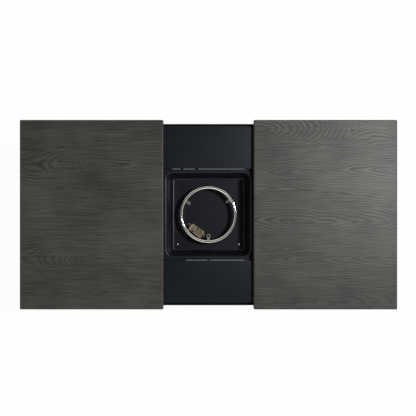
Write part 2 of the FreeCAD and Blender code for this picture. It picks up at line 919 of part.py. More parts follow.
def burner_inlet():
    """The inlet fitting: a stub into the ring's inner side on an upright barrel that goes
    down through the tray floor."""
    low = pan_under_z - inlet_drop
    high = ring_z + ring_tube_radius + inlet_rise
    barrel = rod(V(0, inlet_y, low), V(0, 0, 1), inlet_radius, high - low)
    barrel = barrel.makeFillet(fitting_edge, edges_at_height(barrel, high))
    stub = rod(V(0, inlet_y, ring_z), V(0, -1, 0), inlet_stub_radius, inlet_reach)
    stub = stub.cut(Part.makeTorus(ring_radius, ring_tube_radius, V(0, 0, ring_z)))
    stub = stub.common(box(-ring_radius, ring_radius, -ring_radius, 0, low, leaf_top))
    fitting = barrel.fuse(stub)
    bore = rod(V(0, inlet_y, low), V(0, 0, 1), inlet_bore, ring_z - low)
    passage = rod(V(0, inlet_y, ring_z), V(0, -1, 0), inlet_bore - ring_wall, inlet_reach)
    return fitting.cut([bore, passage])


def inlet_locknut():
    """The nut that clamps the inlet fitting under the tray floor."""
    start = V(0, inlet_y, pan_under_z)
    nut = hexagon(start, V(0, 0, -1), locknut_across_flats, locknut_thickness)
    return nut.cut(rod(start, V(0, 0, -1), inlet_radius, locknut_thickness))


def air_mixer():
    """The brass air mixer: a collar on the inlet barrel, a bell with air windows and a hex."""
    low = pan_under_z - inlet_drop
    up = V(0, 0, 1)
    collar_low = low - mixer_wall
    collar_height = inlet_drop - locknut_thickness - mixer_nut_gap + mixer_wall
    collar = rod(V(0, inlet_y, collar_low), up, mixer_collar_radius, collar_height)
    bell = rod(V(0, inlet_y, collar_low - mixer_bell), up, mixer_bell_radius, mixer_bell)
    bell = bell.makeFillet(fitting_edge, edges_at_height(bell, collar_low))
    nut = hexagon(V(0, inlet_y, mixer_bottom - mixer_wall), up, 2 * mixer_collar_radius, mixer_nut)
    body = bell.fuse([collar, nut])
    seat = rod(V(0, inlet_y, low), up, inlet_radius, collar_height)
    throat = rod(V(0, inlet_y, collar_low), up, inlet_bore, mixer_wall)
    chamber = rod(
        V(0, inlet_y, collar_low - mixer_bell + mixer_wall), up, mixer_bell_radius - mixer_wall,
        mixer_bell - 2 * mixer_wall
    )
    neck = rod(V(0, inlet_y, collar_low - mixer_wall), up, inlet_bore, mixer_wall)
    body = body.cut([seat, throat, chamber, neck])
    w, h = mixer_window_width / 2, mixer_window_height / 2
    z = collar_low - mixer_bell / 2
    for k in range(mixer_window_count):
        window = box(0, mixer_bell_radius + past, -w, w, z - h, z + h)
        window.rotate(V(0, 0, 0), up, k * 360 / mixer_window_count)
        window.translate(V(0, inlet_y, 0))
        body = body.cut(window)
    return body


def gas_elbow():
    """The elbow under the mixer that turns the pipe to the front."""
    top = mixer_bottom - mixer_wall
    z = pipe_z - mixer_wall
    drop = rod(V(0, inlet_y, z), V(0, 0, 1), elbow_radius, top - z)
    knee = Part.makeSphere(elbow_radius, V(0, inlet_y, z))
    arm = rod(V(0, inlet_y, z), V(0, -1, 0), elbow_radius, elbow_reach)
    return drop.fuse([knee, arm])


def gas_pipe():
    """The bent pipe from the valve's outlet to the elbow under the burner."""
    z = pipe_z - mixer_wall
    y = valve_y
    points = [
        V(0, inlet_y - elbow_reach, z),
        V(0, y, z),
        V(0, y, niche_z),
        V(knob_x + outlet_reach, y, niche_z),
    ]
    return bent_tube(points, pipe_bend, pipe_radius)


def ignition_shield():
    """The folded stainless shield, slotted on its top and sides, with a tab at each end."""
    t = shield_sheet
    hx, hy = shield_length / 2, shield_width / 2
    top = pan_floor_z + shield_height
    outer = rounded_block(-hx, hx, -hy, hy, pan_floor_z, top, shield_corner)
    low = pan_floor_z - past
    hollow = rounded_block(-hx + t, hx - t, -hy + t, hy - t, low, top - t, shield_corner - t)
    shell = outer.cut(hollow)
    tab_y = shield_tab_width / 2
    tab = box(hx - t, hx + shield_tab, -tab_y, tab_y, pan_floor_z, pan_floor_z + t)
    shell = shell.fuse(both_sides(tab, V(1, 0, 0)))
    cutters = []
    half = shield_slot_width / 2
    slot_y, side_y = hy - shield_slot_margin, hy + past
    low, high = pan_floor_z + shield_slot_low, top - shield_slot_margin
    for k in range(shield_top_slots):
        x = (k - (shield_top_slots - 1) / 2) * shield_slot_pitch
        cutters.append(box(x - half, x + half, -slot_y, slot_y, top - t - past, top + past))
    for k in range(shield_side_slots):
        x = (k - (shield_side_slots - 1) / 2) * shield_slot_pitch
        cutters.append(box(x - half, x + half, -side_y, side_y, low, high))
    for side in (-1, 1):
        x = side * (hx + shield_tab / 2)
        cutters.append(rod(V(x, 0, pan_floor_z - past), V(0, 0, 1), screw_radius, t + 2 * past))
    shell = shell.cut(cutters)
    shell.rotate(V(0, 0, 0), V(0, 0, 1), shield_turn)
    shell.translate(V(shield_x, shield_y, 0))
    return shell


def probe(place, rise):
    """An upright round body through the tray floor, with a collar on the floor."""
    x, y, radius = place
    low = pan_under_z - probe_drop
    body = rod(V(x, y, low), V(0, 0, 1), radius, pan_floor_z + rise - low)
    collar = rod(V(x, y, pan_floor_z), V(0, 0, 1), radius + probe_collar_step, probe_collar)
    return body.fuse(collar)


def electrode_wire():
    """The spark wire out of the top of the electrode's ceramic, bent towards the burner."""
    x, y, radius = probe_places()[1]
    high = pan_floor_z + electrode_rise
    tip = shield_point(probe_offset - wire_length, 0)
    points = [V(x, y, high), V(x, y, high + wire_length), V(tip[0], tip[1], high + wire_length)]
    return bent_tube(points, wire_bend, wire_radius)


def thermocouple_capillary():
    """The copper capillary from the valve's safety magnet to the thermocouple."""
    x, y, radius = probe_places()[0]
    start_y = niche_back + niche_sheet + valve_length + magnet_length
    z = niche_z
    points = [
        V(knob_x, start_y, z),
        V(knob_x, start_y + lead_straight, z),
        V(x, y, z),
        V(x, y, pan_under_z - probe_drop),
    ]
    return bent_tube(points, capillary_bend, capillary_radius)


def ignition_lead():
    """The insulated lead from the igniter to the electrode."""
    x, y, radius = probe_places()[1]
    start_y = niche_back + niche_sheet + igniter_length
    z = niche_z - lead_slant
    points = [
        V(button_x, start_y, niche_z),
        V(button_x, start_y + lead_straight, niche_z),
        V(button_x + lead_slant, start_y + 2 * lead_straight, z),
        V(x, y, z),
        V(x, y, pan_under_z - probe_drop),
    ]
    return bent_tube(points, lead_bend, lead_radius)


def gas_valve():
    """The cast valve body behind the niche, with its front boss, side outlet, lower inlet and
    the cap of the safety magnet."""
    y = V(0, 1, 0)
    back = niche_back + niche_sheet
    z = niche_z
    body = rod(V(knob_x, back, z), y, valve_radius, valve_length)
    body = body.makeFillet(valve_edge, body.Edges)
    boss = rod(V(knob_x, niche_back - valve_boss, z), y, valve_boss_radius, valve_boss + valve_length / 2)
    outlet = hexagon(V(knob_x, valve_y, z), V(1, 0, 0), 2 * outlet_radius, outlet_reach)
    drop = rod(V(knob_x, valve_y, z), V(0, 0, -1), inlet_boss_radius, inlet_boss)
    nipple = rod(V(knob_x, valve_y, z - inlet_boss), V(0, 0, -1), inlet_nipple_radius, inlet_nipple)
    cap_start = V(knob_x, back + valve_length - magnet_seat, z)
    cap = rod(cap_start, y, magnet_radius, magnet_seat + magnet_length)
    body = body.fuse([boss, outlet, drop, nipple, cap])
    spare = push_travel + bore_end_gap
    mouth = V(knob_x, niche_back - valve_boss, z)
    stem_bore = rod(mouth, y, stem_radius + running_clearance, valve_boss + stem_inside + spare)
    rod_bore = rod(V(knob_x, stem_end(), z), y, rod_radius + running_clearance, rod_length + spare)
    return body.cut([stem_bore, rod_bore])


def stem_end():
    """The Y station of the stem's inner end."""
    return niche_back + stem_inside


def valve_stem():
    """The valve's round stem, from inside the valve body into the knob."""
    front = niche_back - valve_boss - knob_gap - stem_in_knob
    return rod(V(knob_x, front, niche_z), V(0, 1, 0), stem_radius, stem_end() - front)


def push_rod():
    """The rod behind the stem that lifts the safety magnet when the knob is pushed."""
    return rod(V(knob_x, stem_end(), niche_z), V(0, 1, 0), rod_radius, rod_length)


def control_knob():
    """The moulded knob: a tapered skirt with a raised grip bar and a bore for the stem."""
    front = niche_back - valve_boss - knob_gap
    y = V(0, -1, 0)
    base_length = knob_length - knob_grip_depth
    base = Part.makeCone(knob_radius, knob_radius - knob_draft, base_length, V(knob_x, front, niche_z), y)
    grip_front = front - knob_length
    half = knob_grip_width / 2
    reach = knob_radius - knob_draft - knob_grip_inset
    grip_back = front - base_length
    grip = box(knob_x - half, knob_x + half, grip_front, grip_back, niche_z - reach, niche_z + reach)
    grip = grip.common(rod(V(knob_x, front, niche_z), y, knob_radius - knob_draft, knob_length))
    grip = grip.makeFillet(knob_edge, edges_at_front(grip, grip_front))
    knob = base.fuse(grip)
    bore = rod(V(knob_x, front, niche_z), y, stem_radius, stem_in_knob)
    high = niche_z + reach - mark_inset
    low = high - mark_length
    half = mark_width / 2
    mark = box(knob_x - half, knob_x + half, grip_front - past, grip_front + mark_depth, low, high)
    return knob.cut([bore, mark])


def igniter():
    """The igniter module: a barrel behind the niche with a collar in front. A wide recess takes
    the button's cap and a narrow blind bore its plunger."""
    y = V(0, 1, 0)
    mouth = V(button_x, niche_back - igniter_collar, niche_z)
    collar = rod(mouth, y, igniter_collar_radius, igniter_collar)
    collar = collar.makeFillet(igniter_edge, edges_at_front(collar, niche_back - igniter_collar))
    barrel = rod(V(button_x, niche_back, niche_z), y, igniter_radius, niche_sheet + igniter_length)
    reach = button_seat + button_travel
    recess = rod(mouth, y, button_radius + button_clearance, reach + button_seat_gap)
    bore = rod(mouth, y, plunger_radius + button_clearance, reach + plunger_length + bore_end_gap)
    return collar.fuse(barrel).cut([recess, bore])


def igniter_button():
    """The push button of the igniter: a cap with a rounded front edge and a plunger."""
    y = V(0, 1, 0)
    front = niche_back - igniter_collar - button_out
    length = button_out + button_seat
    cap = rod(V(button_x, front, niche_z), y, button_radius, length)
    cap = cap.makeFillet(igniter_edge, edges_at_front(cap, front))
    return cap.fuse(rod(V(button_x, front, niche_z) + y * length, y, plunger_radius, plunger_length))


def hose_grommet():
    """The rubber ring in the right partition that the gas hose goes through."""
    x = V(1, 0, 0)
    near, far = bearer_inner - grommet_lip, bearer_inner + partition_sheet
    groove = rod(V(bearer_inner, grommet_y, grommet_z), x, grommet_radius - grommet_groove, partition_sheet)
    lips = [rod(V(start, grommet_y, grommet_z), x, grommet_radius, grommet_lip) for start in (near, far)]
    bore = rod(V(near, grommet_y, grommet_z), x, grommet_bore, partition_sheet + 2 * grommet_lip)
    return groove.fuse(lips).cut(bore)


def tank_rails():
    """Two cross rails that carry the tank tray."""
    rails = []
    for side in (-1, 1):
        x = tank_x + side * tank_rail_offset
        rails.append(square_tube(x - tube / 2, x + tube / 2, -rail_y, rail_y, glide_height, base_top))
    return rails


def tank_tray():
    """The tank's tray: a flat sheet with an upstanding ring that holds the tank's foot."""
    half = tank_tray_side / 2
    top = base_top + tank_tray_sheet
    up = V(0, 0, 1)
    plate = rounded_block(tank_x - half, tank_x + half, -half, half, base_top, top, tank_tray_corner)
    ring = rod(V(tank_x, 0, base_top), up, tank_rim_radius + tank_tray_sheet, tank_tray_sheet + tank_rim)
    ring = ring.cut(rod(V(tank_x, 0, top), up, tank_rim_radius, tank_rim + past))
    hole = rod(V(tank_x, 0, base_top - past), up, tank_hole_radius, tank_tray_sheet + 2 * past)
    return plate.fuse(ring).cut(hole)


def door_skin():
    """The tank door's outer sheet, hung over the right end of the frame."""
    low = glide_height + door_lift
    free_edge = -(post_y - door_side_gap)
    inner = body_x - panel_sheet + door_gap
    return end_skin(inner, low, panel_high - door_top_gap, free_edge, hinge_y - hinge_edge_gap)


def door_stiffeners():
    """Two hat-section bars on the inside of the door."""
    x = body_x - panel_sheet + door_gap
    deep = x - door_stiffener_depth
    y1 = rail_y - door_stiffener_end_gap
    brim, mouth, crown = door_stiffener_width / 2, door_stiffener_mouth / 2, door_stiffener_crown / 2
    bends = [stiffener_brim_bend, stiffener_bend, stiffener_bend, stiffener_brim_bend]
    bars = []
    for z in (base_top + door_stiffener_inset, rail_low - door_stiffener_inset):
        lower = [(x, z - brim), (x, z - mouth), (deep, z - crown)]
        run = lower + [(deep, z + crown), (x, z + mouth), (x, z + brim)]
        section = sheet_face(run, bends, panel_sheet, in_xz(-y1))
        bars.append(section.extrude(V(0, 2 * y1, 0)))
    return bars


def hinge_stations():
    """The low end of each hinge."""
    return [panel_low + hinge_inset, frame_top - hinge_inset - hinge_height]


def knuckle(z0, z1):
    """A hinge knuckle bored for its pin."""
    start = V(hinge_x, hinge_y, z0)
    barrel = rod(start, V(0, 0, 1), hinge_radius, z1 - z0)
    return barrel, rod(start, V(0, 0, 1), hinge_pin_radius + running_clearance, z1 - z0)


def hinge_fixed_leaves():
    """The hinge halves on the rear panel, each with an upper and a lower knuckle."""
    halves = []
    third = hinge_height / 3
    for z in hinge_stations():
        plate = box(body_x - hinge_leaf, hinge_x, body_y, body_y + hinge_sheet, z, z + hinge_height)
        low, high = z + third - hinge_axial_gap / 2, z + 2 * third + hinge_axial_gap / 2
        gap = box(body_x, hinge_x + past, hinge_y, body_y + hinge_sheet + past, low, high)
        half = plate.cut(gap)
        bores = []
        for low in (z, z + 2 * third + hinge_axial_gap / 2):
            barrel, bore = knuckle(low, low + third - hinge_axial_gap / 2)
            half = half.fuse(barrel)
            bores.append(bore)
        halves.append(half.cut(bores))
    return halves


def hinge_door_leaves():
    """The hinge halves on the door, each with the middle knuckle."""
    halves = []
    third = hinge_height / 3
    face = body_x + door_gap
    for z in hinge_stations():
        low, high = z + third + hinge_axial_gap / 2, z + 2 * third - hinge_axial_gap / 2
        barrel, bore = knuckle(low, high)
        edge = hinge_y - hinge_radius - hinge_leaf_gap
        strap = box(face, face + hinge_sheet, edge, hinge_y, low, high)
        plate = box(face, face + hinge_sheet, hinge_y - hinge_leaf, edge, z, z + hinge_height)
        halves.append(barrel.fuse([strap, plate]).cut(bore))
    return halves


def hinge_pins():
    """The hinge pins, headed at the top."""
    pins = []
    for z in hinge_stations():
        up = V(0, 0, 1)
        shank = rod(V(hinge_x, hinge_y, z), up, hinge_pin_radius, hinge_height)
        head = rod(V(hinge_x, hinge_y, z + hinge_height), up, hinge_pin_head_radius, hinge_pin_head)
        pins.append(shank.fuse(head))
    return pins


def magnet_catch():
    """The magnet catch on the front right post."""
    x1 = post_x - strike_sheet - catch_gap + door_gap
    half = catch_length / 2
    return box(x1 - catch_width, x1, -rail_y, -rail_y + catch_depth, pull_z - half, pull_z + half)


def strike_plate():
    """The steel plate on the door that the magnet holds."""
    x1 = post_x + door_gap
    half = catch_length / 2
    y0 = -rail_y + strike_inset
    return box(x1 - strike_sheet, x1, y0, y0 + catch_depth, pull_z - half, pull_z + half)


def door_pull():
    """The bow handle near the door's free edge."""
    face = body_x + door_gap
    y = -rail_y + pull_inset
    half = pull_spacing / 2
    points = [
        V(face, y, pull_z - half), V(face + pull_reach - pull_radius, y, pull_z - half),
        V(face + pull_reach - pull_radius, y, pull_z + half), V(face, y, pull_z + half),
    ]
    return bent_tube(points, pull_bend, pull_radius)


def build():
    """Makes every node."""
    x_mirror, y_mirror = V(1, 0, 0), V(0, 1, 0)
    save("foot_glides", four_corners(glide()))
    save("corner_posts", four_corners(corner_post()))
    save("bottom_rails", rail_ring(glide_height) + tank_rails())
    save("top_rails", rail_ring(rail_low))
    save("tray_bearers", both_sides(bearer(), x_mirror))
    track = rear_track()
    save("rear_track", [track])
    save("front_track", [mirrored(track, y_mirror)])
    save("track_end_plugs", four_corners(end_plug()))

    wall = partition()
    hole = rod(V(0, grommet_y, grommet_z), V(1, 0, 0), grommet_radius - grommet_groove, 2 * bearer_inner)
    save("right_partition", [wall.cut(hole)])
    save("left_partition", [mirrored(wall, x_mirror)])
    save("hose_grommet", [hose_grommet()])
    save("front_panel", [front_panel()])
    save("rear_panel", [rear_panel()])
    end_y = body_y - panel_fold - panel_fold_gap
    save("left_end_panel", [end_skin(-body_x, panel_low, panel_high, -end_y, end_y)])

    plate = deck_plate()
    save("rear_deck_plate", [plate])
    save("front_deck_plate", [mirrored(plate, y_mirror)])
    save("burner_tray", [burner_tray()])
    save("burner_ring", [burner_ring()])
    save("ring_brackets", [ring_bracket(angle) for angle in bracket_angles])
    save("pan_screws", pan_screws())
    save("burner_inlet", [burner_inlet()])
    save("inlet_locknut", [inlet_locknut()])
    save("air_mixer", [air_mixer()])
    save("gas_elbow", [gas_elbow()])
    save("gas_pipe", [gas_pipe()])
    save("ignition_shield", [ignition_shield()])
    thermo, spark = probe_places()
    save("thermocouple", [probe(thermo, thermocouple_rise)])
    save("electrode_ceramic", [probe(spark, electrode_rise)])
    save("electrode_wire", [electrode_wire()])
    save("thermocouple_capillary", [thermocouple_capillary()])
    save("ignition_lead", [ignition_lead()])

    save("control_niche", [niche()])
    save("gas_valve", [gas_valve()])
    save("push_rod", [push_rod()])
    save("valve_stem", [valve_stem()])
    save("control_knob", [control_knob()])
    save("igniter_module", [igniter()])
    save("igniter_button", [igniter_button()])
    save("tank_tray", [tank_tray()])

    save("tank_door", [door_skin()] + door_stiffeners())
    save("hinge_fixed_leaves", hinge_fixed_leaves())
    save("hinge_door_leaves", hinge_door_leaves())
    save("hinge_pins", hinge_pins())
    save("magnet_catch", [magnet_catch()])
    save("strike_plate", [strike_plate()])
    save("door_pull", [door_pull()])

    shell = leaf_shell()
    ribs = leaf_ribs()
    bar = carriage()
    bars = both_sides(bar, y_mirror)
    axles = [axle(leaf_inner + first) for first in (roller_first, roller_last)]
    nuts = [axle_nut(leaf_inner + first) for first in (roller_first, roller_last)]
    axles += [mirrored(piece, y_mirror) for piece in axles]
    nuts += [mirrored(piece, y_mirror) for piece in nuts]
    inner_rollers = both_sides(roller_solid(leaf_inner + roller_first), y_mirror)
    outer_rollers = both_sides(roller_solid(leaf_inner + roller_last), y_mirror)
    groups = {
        "leaf": [shell],
        "leaf_ribs": ribs,
        "carriages": bars,
        "roller_axles": axles + nuts,
        "inner_rollers": inner_rollers,
        "outer_rollers": outer_rollers,
    }
    for name, shapes in groups.items():
        save("right_" + name, shapes)
        save("left_" + name, [mirrored(piece, x_mirror) for piece in shapes])


os.makedirs("parts", exist_ok=True)
build()
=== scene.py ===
import bpy
import math
import numpy as np
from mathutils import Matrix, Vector


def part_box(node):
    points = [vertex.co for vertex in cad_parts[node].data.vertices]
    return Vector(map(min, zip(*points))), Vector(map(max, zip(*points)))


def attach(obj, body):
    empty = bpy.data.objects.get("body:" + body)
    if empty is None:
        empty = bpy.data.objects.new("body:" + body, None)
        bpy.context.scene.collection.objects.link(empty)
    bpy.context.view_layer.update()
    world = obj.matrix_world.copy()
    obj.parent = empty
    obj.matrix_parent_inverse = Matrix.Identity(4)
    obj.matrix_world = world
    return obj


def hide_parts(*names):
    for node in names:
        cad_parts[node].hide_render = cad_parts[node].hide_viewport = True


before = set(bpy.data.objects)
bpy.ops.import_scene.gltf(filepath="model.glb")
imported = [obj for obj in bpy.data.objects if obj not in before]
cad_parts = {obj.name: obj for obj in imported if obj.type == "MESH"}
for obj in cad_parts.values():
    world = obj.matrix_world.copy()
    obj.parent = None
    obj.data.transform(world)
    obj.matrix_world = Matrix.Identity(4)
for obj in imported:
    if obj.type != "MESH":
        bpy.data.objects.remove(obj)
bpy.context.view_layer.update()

# Frame: square steel tube, welded, with a satin black powder coat. Four moulded
# polypropylene feet are pushed into the posts. The tray bearers are the same tube.


def linear(code):
    """An sRGB hex colour as linear red, green, blue and a full alpha."""
    part = np.array([int(code[k:k + 2], 16) for k in (1, 3, 5)]) / 255
    part = np.where(part > 0.04045, ((part + 0.055) / 1.055) ** 2.4, part / 12.92)
    return (*part.tolist(), 1.0)


def add(tree, kind, inputs, **settings):
    """Adds a node with its settings. An input takes a link from another node's output, or a
    value."""
    node = tree.nodes.new(kind)
    for name, value in settings.items():
        setattr(node, name, value)
    for place, value in inputs.items():
        if isinstance(value, bpy.types.NodeSocket):
            tree.links.new(value, node.inputs[place])
        else:
            node.inputs[place].default_value = value
    return node


def new_finish(name, **values):
    """An empty finish: its material, node tree and shader, with the shader's even values."""
    material = bpy.data.materials.new(name)
    material.use_nodes = True
    tree = material.node_tree
    shader = tree.nodes["Principled BSDF"]
    for socket, value in values.items():
        shader.inputs[socket.replace("_", " ")].default_value = value
    return material, tree, shader


def shade(tree, shader, colour, roughness, height, distance, strength):
    """Joins a finish's colour, roughness and height patterns to its shader."""
    tree.links.new(colour, shader.inputs["Base Color"])
    tree.links.new(roughness, shader.inputs["Roughness"])
    bump = add(tree, "ShaderNodeBump",
               {"Height": height, "Distance": distance, "Strength": strength})
    tree.links.new(bump.outputs[0], shader.inputs["Normal"])


def fold_shading():
    """A modifier that joins a CAD node's loose triangles and shades smooth wherever two
    faces meet at under 32 degrees, so that bends look round and folds stay crisp."""
    same_point = 2e-6
    gentle_angle = math.radians(32)
    group = bpy.data.node_groups.new("round_bends", "GeometryNodeTree")
    for way in ("INPUT", "OUTPUT"):
        group.interface.new_socket("Geometry", in_out=way, socket_type="NodeSocketGeometry")
    source = add(group, "NodeGroupInput", {})
    joined = add(group, "GeometryNodeMergeByDistance",
                 {"Geometry": source.outputs[0], "Distance": same_point})
    angle = add(group, "GeometryNodeInputMeshEdgeAngle", {})
    gentle = add(group, "FunctionNodeCompare", {0: angle.outputs[0], 1: gentle_angle},
                 operation="LESS_THAN")
    faces = add(group, "GeometryNodeSetShadeSmooth",
                {"Geometry": joined.outputs[0], "Shade Smooth": True})
    edges = add(group, "GeometryNodeSetShadeSmooth",
                {"Geometry": faces.outputs[0], "Shade Smooth": gentle.outputs[0]}, domain="EDGE")
    add(group, "NodeGroupOutput", {0: edges.outputs[0]})
    return group


round_bends = fold_shading()


def dress(material, *nodes):
    """Gives CAD nodes a finish and smooth bends."""
    for name in nodes:
        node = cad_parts[name]
        node.data.materials.clear()
        node.data.materials.append(material)
        node.modifiers.new("round_bends", "NODES").node_group = round_bends


def powder_coat(name, code, light_code, gloss):
    """Powder coat: polyester powder fused on steel. The eye sees a soft broad sheen broken by
    orange peel, and slow clouds of tone about 170 mm across. Real peel is about 1 mm, and it
    is drawn at 2.5 mm to show. Gloss is the middle of the roughness."""
    peel_size = 0.0025
    cloud_scale = 6.0
    swing = 0.04
    material, tree, shader = new_finish(name, Specular_IOR_Level=0.12, IOR=1.5)
    place = add(tree, "ShaderNodeTexCoord", {}).outputs["Object"]
    peel = add(tree, "ShaderNodeTexNoise",
               {"Vector": place, "Scale": 1 / peel_size, "Detail": 2.0}).outputs[0]
    cloud = add(tree, "ShaderNodeTexNoise",
                {"Vector": place, "Scale": cloud_scale, "Detail": 3.0}).outputs[0]
    colour = add(tree, "ShaderNodeMix",
                 {"Factor": cloud, "A": linear(code), "B": linear(light_code)}, data_type="RGBA")
    roughness = add(tree, "ShaderNodeMapRange",
                    {"Value": cloud, "To Min": gloss - swing, "To Max": gloss + swing})
    shade(tree, shader, colour.outputs["Result"], roughness.outputs[0], peel,
          distance=0.0002, strength=0.25)
    return material


frame_coat = powder_coat("powder_coat_on_tube", "#141517", "#1A1C1E", 0.46)
dress(frame_coat, "corner_posts", "bottom_rails", "top_rails", "tray_bearers")


def moulded(name, code, gloss, grain):
    """Moulded plastic, rubber or ceramic: a fine spark-eroded grain from the tool, with the
    hollows as the colour says and the peaks a fifth lighter. The grain is given in metres.
    Real grain is about 0.3 mm, and it is drawn at 1 mm or more to show."""
    swing = 0.06
    material, tree, shader = new_finish(name, Specular_IOR_Level=0.45, IOR=1.49)
    place = add(tree, "ShaderNodeTexCoord", {}).outputs["Object"]
    spark = add(tree, "ShaderNodeTexNoise",
                {"Vector": place, "Scale": 1 / grain, "Detail": 4.0}).outputs[0]
    base = linear(code)
    pale = tuple(min(1.0, c * 1.18 + 0.002) for c in base[:3]) + (1.0,)
    colour = add(tree, "ShaderNodeMix", {"Factor": spark, "A": base, "B": pale},
                 data_type="RGBA")
    roughness = add(tree, "ShaderNodeMapRange",
                    {"Value": spark, "To Min": gloss - swing, "To Max": gloss + swing})
    shade(tree, shader, colour.outputs["Result"], roughness.outputs[0], spark,
          distance=0.0001, strength=0.3)
    return material


# Polypropylene: waxy black with a weak sheen
black_polypropylene = moulded("moulded_black_polypropylene", "#141414", 0.52, 0.0012)
dress(black_polypropylene, "foot_glides")

# Body panels: folded sheet steel in the same black powder coat, spot-welded to the frame.
# Two inner walls close the burner bay off from the bays at both ends, and the hose passes
# one of them through a rubber grommet.

panel_coat = powder_coat("powder_coat_on_panels", "#141517", "#1A1C1F", 0.42)
dress(panel_coat, "front_panel", "rear_panel", "left_end_panel", "left_partition",
      "right_partition", "control_niche")

# Rubber: dull black, hardly any sheen
black_rubber = moulded("moulded_rubber", "#121212", 0.7, 0.0015)
dress(black_rubber, "hose_grommet")

# Roller tracks: lipped channels, roll-formed from zinc-plated strip and welded to the top
# rails. A polypropylene plug closes each end and stops the rollers.


def zinc_plate(name, code, stretch):
    """Zinc-plated steel: cool grey metal with a soft crystalline mottle of about 4 mm, pulled
    out along X by the rolling. Stretch is the mottle's width over its length."""
    mottle_size = 0.004
    material, tree, shader = new_finish(name, Metallic=1.0)
    place = add(tree, "ShaderNodeTexCoord", {}).outputs["Object"]
    drawn = add(tree, "ShaderNodeMapping",
                {"Vector": place, "Scale": (stretch, 1.0, 1.0)}).outputs[0]
    mottle = add(tree, "ShaderNodeTexNoise",
                 {"Vector": drawn, "Scale": 1 / mottle_size, "Detail": 3.0}).outputs[0]
    base = linear(code)
    dim = tuple(c * 0.75 for c in base[:3]) + (1.0,)
    colour = add(tree, "ShaderNodeMix", {"Factor": mottle, "A": dim, "B": base},
                 data_type="RGBA")
    roughness = add(tree, "ShaderNodeMapRange",
                    {"Value": mottle, "To Min": 0.3, "To Max": 0.45})
    shade(tree, shader, colour.outputs["Result"], roughness.outputs[0], mottle,
          distance=0.0001, strength=0.2)
    return material


rolled_zinc = zinc_plate("zinc_plated_strip", "#B4B6B8", 0.1)
dress(rolled_zinc, "rear_track", "front_track")
dress(black_polypropylene, "track_end_plugs")

# Deck plates: two folded steel plates in front of and behind the tray, powder-coated black
# with a cooler, slightly glossier coat than the body.

deck_coat = powder_coat("powder_coat_on_deck", "#10151A", "#14181F", 0.37)
dress(deck_coat, "rear_deck_plate", "front_deck_plate")

# Burner tray: one sheet of steel deep-drawn to a square bowl and coated with a satin
# heat-proof black. It hangs by its flange on the two bearers.


def heat_proof_black():
    """Silicone stove coat, sprayed and baked: satin blue-black, with a fine grit and a faint
    sheen on the drawn bends. Real grit is under 0.5 mm, and it is drawn at 1.5 mm to show."""
    grit_size = 0.0015
    cloud_scale = 9.0
    material, tree, shader = new_finish("stove_coat_on_pressed_steel", Specular_IOR_Level=0.17)
    place = add(tree, "ShaderNodeTexCoord", {}).outputs["Object"]
    grit = add(tree, "ShaderNodeTexNoise",
               {"Vector": place, "Scale": 1 / grit_size, "Detail": 3.0}).outputs[0]
    cloud = add(tree, "ShaderNodeTexNoise",
                {"Vector": place, "Scale": cloud_scale, "Detail": 2.0}).outputs[0]
    colour = add(tree, "ShaderNodeMix",
                 {"Factor": cloud, "A": linear("#121318"), "B": linear("#15171C")},
                 data_type="RGBA")
    roughness = add(tree, "ShaderNodeMapRange",
                    {"Value": cloud, "To Min": 0.28, "To Max": 0.34})
    shade(tree, shader, colour.outputs["Result"], roughness.outputs[0], grit,
          distance=0.00015, strength=0.2)
    return material


dress(heat_proof_black(), "burner_tray")

# Burner: a stainless tube rolled to a ring and welded shut, with a row of drilled flame
# ports. Two bent brackets and the inlet fitting hold it off the tray's floor.


def stainless(name, code, tint_code, tint, gloss, spread):
    """Stainless steel: bright, with fine polishing marks and a straw or brown heat tint in
    clouds, whose size is the spread in metres. Gloss is the least roughness. Real marks are
    under 0.2 mm, and they are drawn at 1.5 mm to show."""
    mark_size = 0.0015
    material, tree, shader = new_finish(name, Metallic=1.0)
    place = add(tree, "ShaderNodeTexCoord", {}).outputs["Object"]
    cloud = add(tree, "ShaderNodeTexNoise",
                {"Vector": place, "Scale": 1 / spread, "Detail": 2.0}).outputs[0]
    marks = add(tree, "ShaderNodeTexNoise",
                {"Vector": place, "Scale": 1 / mark_size, "Detail": 2.0}).outputs[0]
    heat = add(tree, "ShaderNodeMapRange",
               {"Value": cloud, "From Min": 0.4, "From Max": 0.7, "To Max": tint}).outputs[0]
    colour = add(tree, "ShaderNodeMix",
                 {"Factor": heat, "A": linear(code), "B": linear(tint_code)}, data_type="RGBA")
    roughness = add(tree, "ShaderNodeMapRange",
                    {"Value": marks, "To Min": gloss, "To Max": gloss + 0.03})
    shade(tree, shader, colour.outputs["Result"], roughness.outputs[0], marks,
          distance=0.00003, strength=0.15)
    return material


# Polished tube: near-mirror, so that it shows the dark overhead and the bright sides
ring_steel = stainless("polished_stainless_tube", "#C2C0BB", "#B0A48F", 0.3, 0.05, 0.06)
dress(ring_steel, "burner_ring", "burner_inlet", "pan_screws")

# Strip near the flame: browned by heat in patches of 30 mm
bracket_steel = stainless("heat_darkened_stainless_strip", "#C4BDB0", "#6A5038", 0.8, 0.22, 0.03)
dress(bracket_steel, "ring_brackets")

# Ignition: a folded, slotted stainless shield screwed to the tray, with the spark
# electrode's glazed ceramic and the thermocouple standing inside it.

# Sheet in the flame: dull, with brown scale in patches of 12 mm
shield_steel = stainless("heat_scaled_stainless_sheet", "#938A78", "#3A2812", 1.0, 0.36, 0.012)
dress(shield_steel, "ignition_shield", "thermocouple", "electrode_wire")

# Glazed ceramic: off-white with a clear highlight
dress(moulded("glazed_white_ceramic", "#DEDCD3", 0.2, 0.004), "electrode_ceramic")
dress(black_rubber, "ignition_lead")

# Gas line: a cast brass valve, a steel pipe, a brass elbow and air mixer under the burner,
# and the copper capillary of the thermocouple.


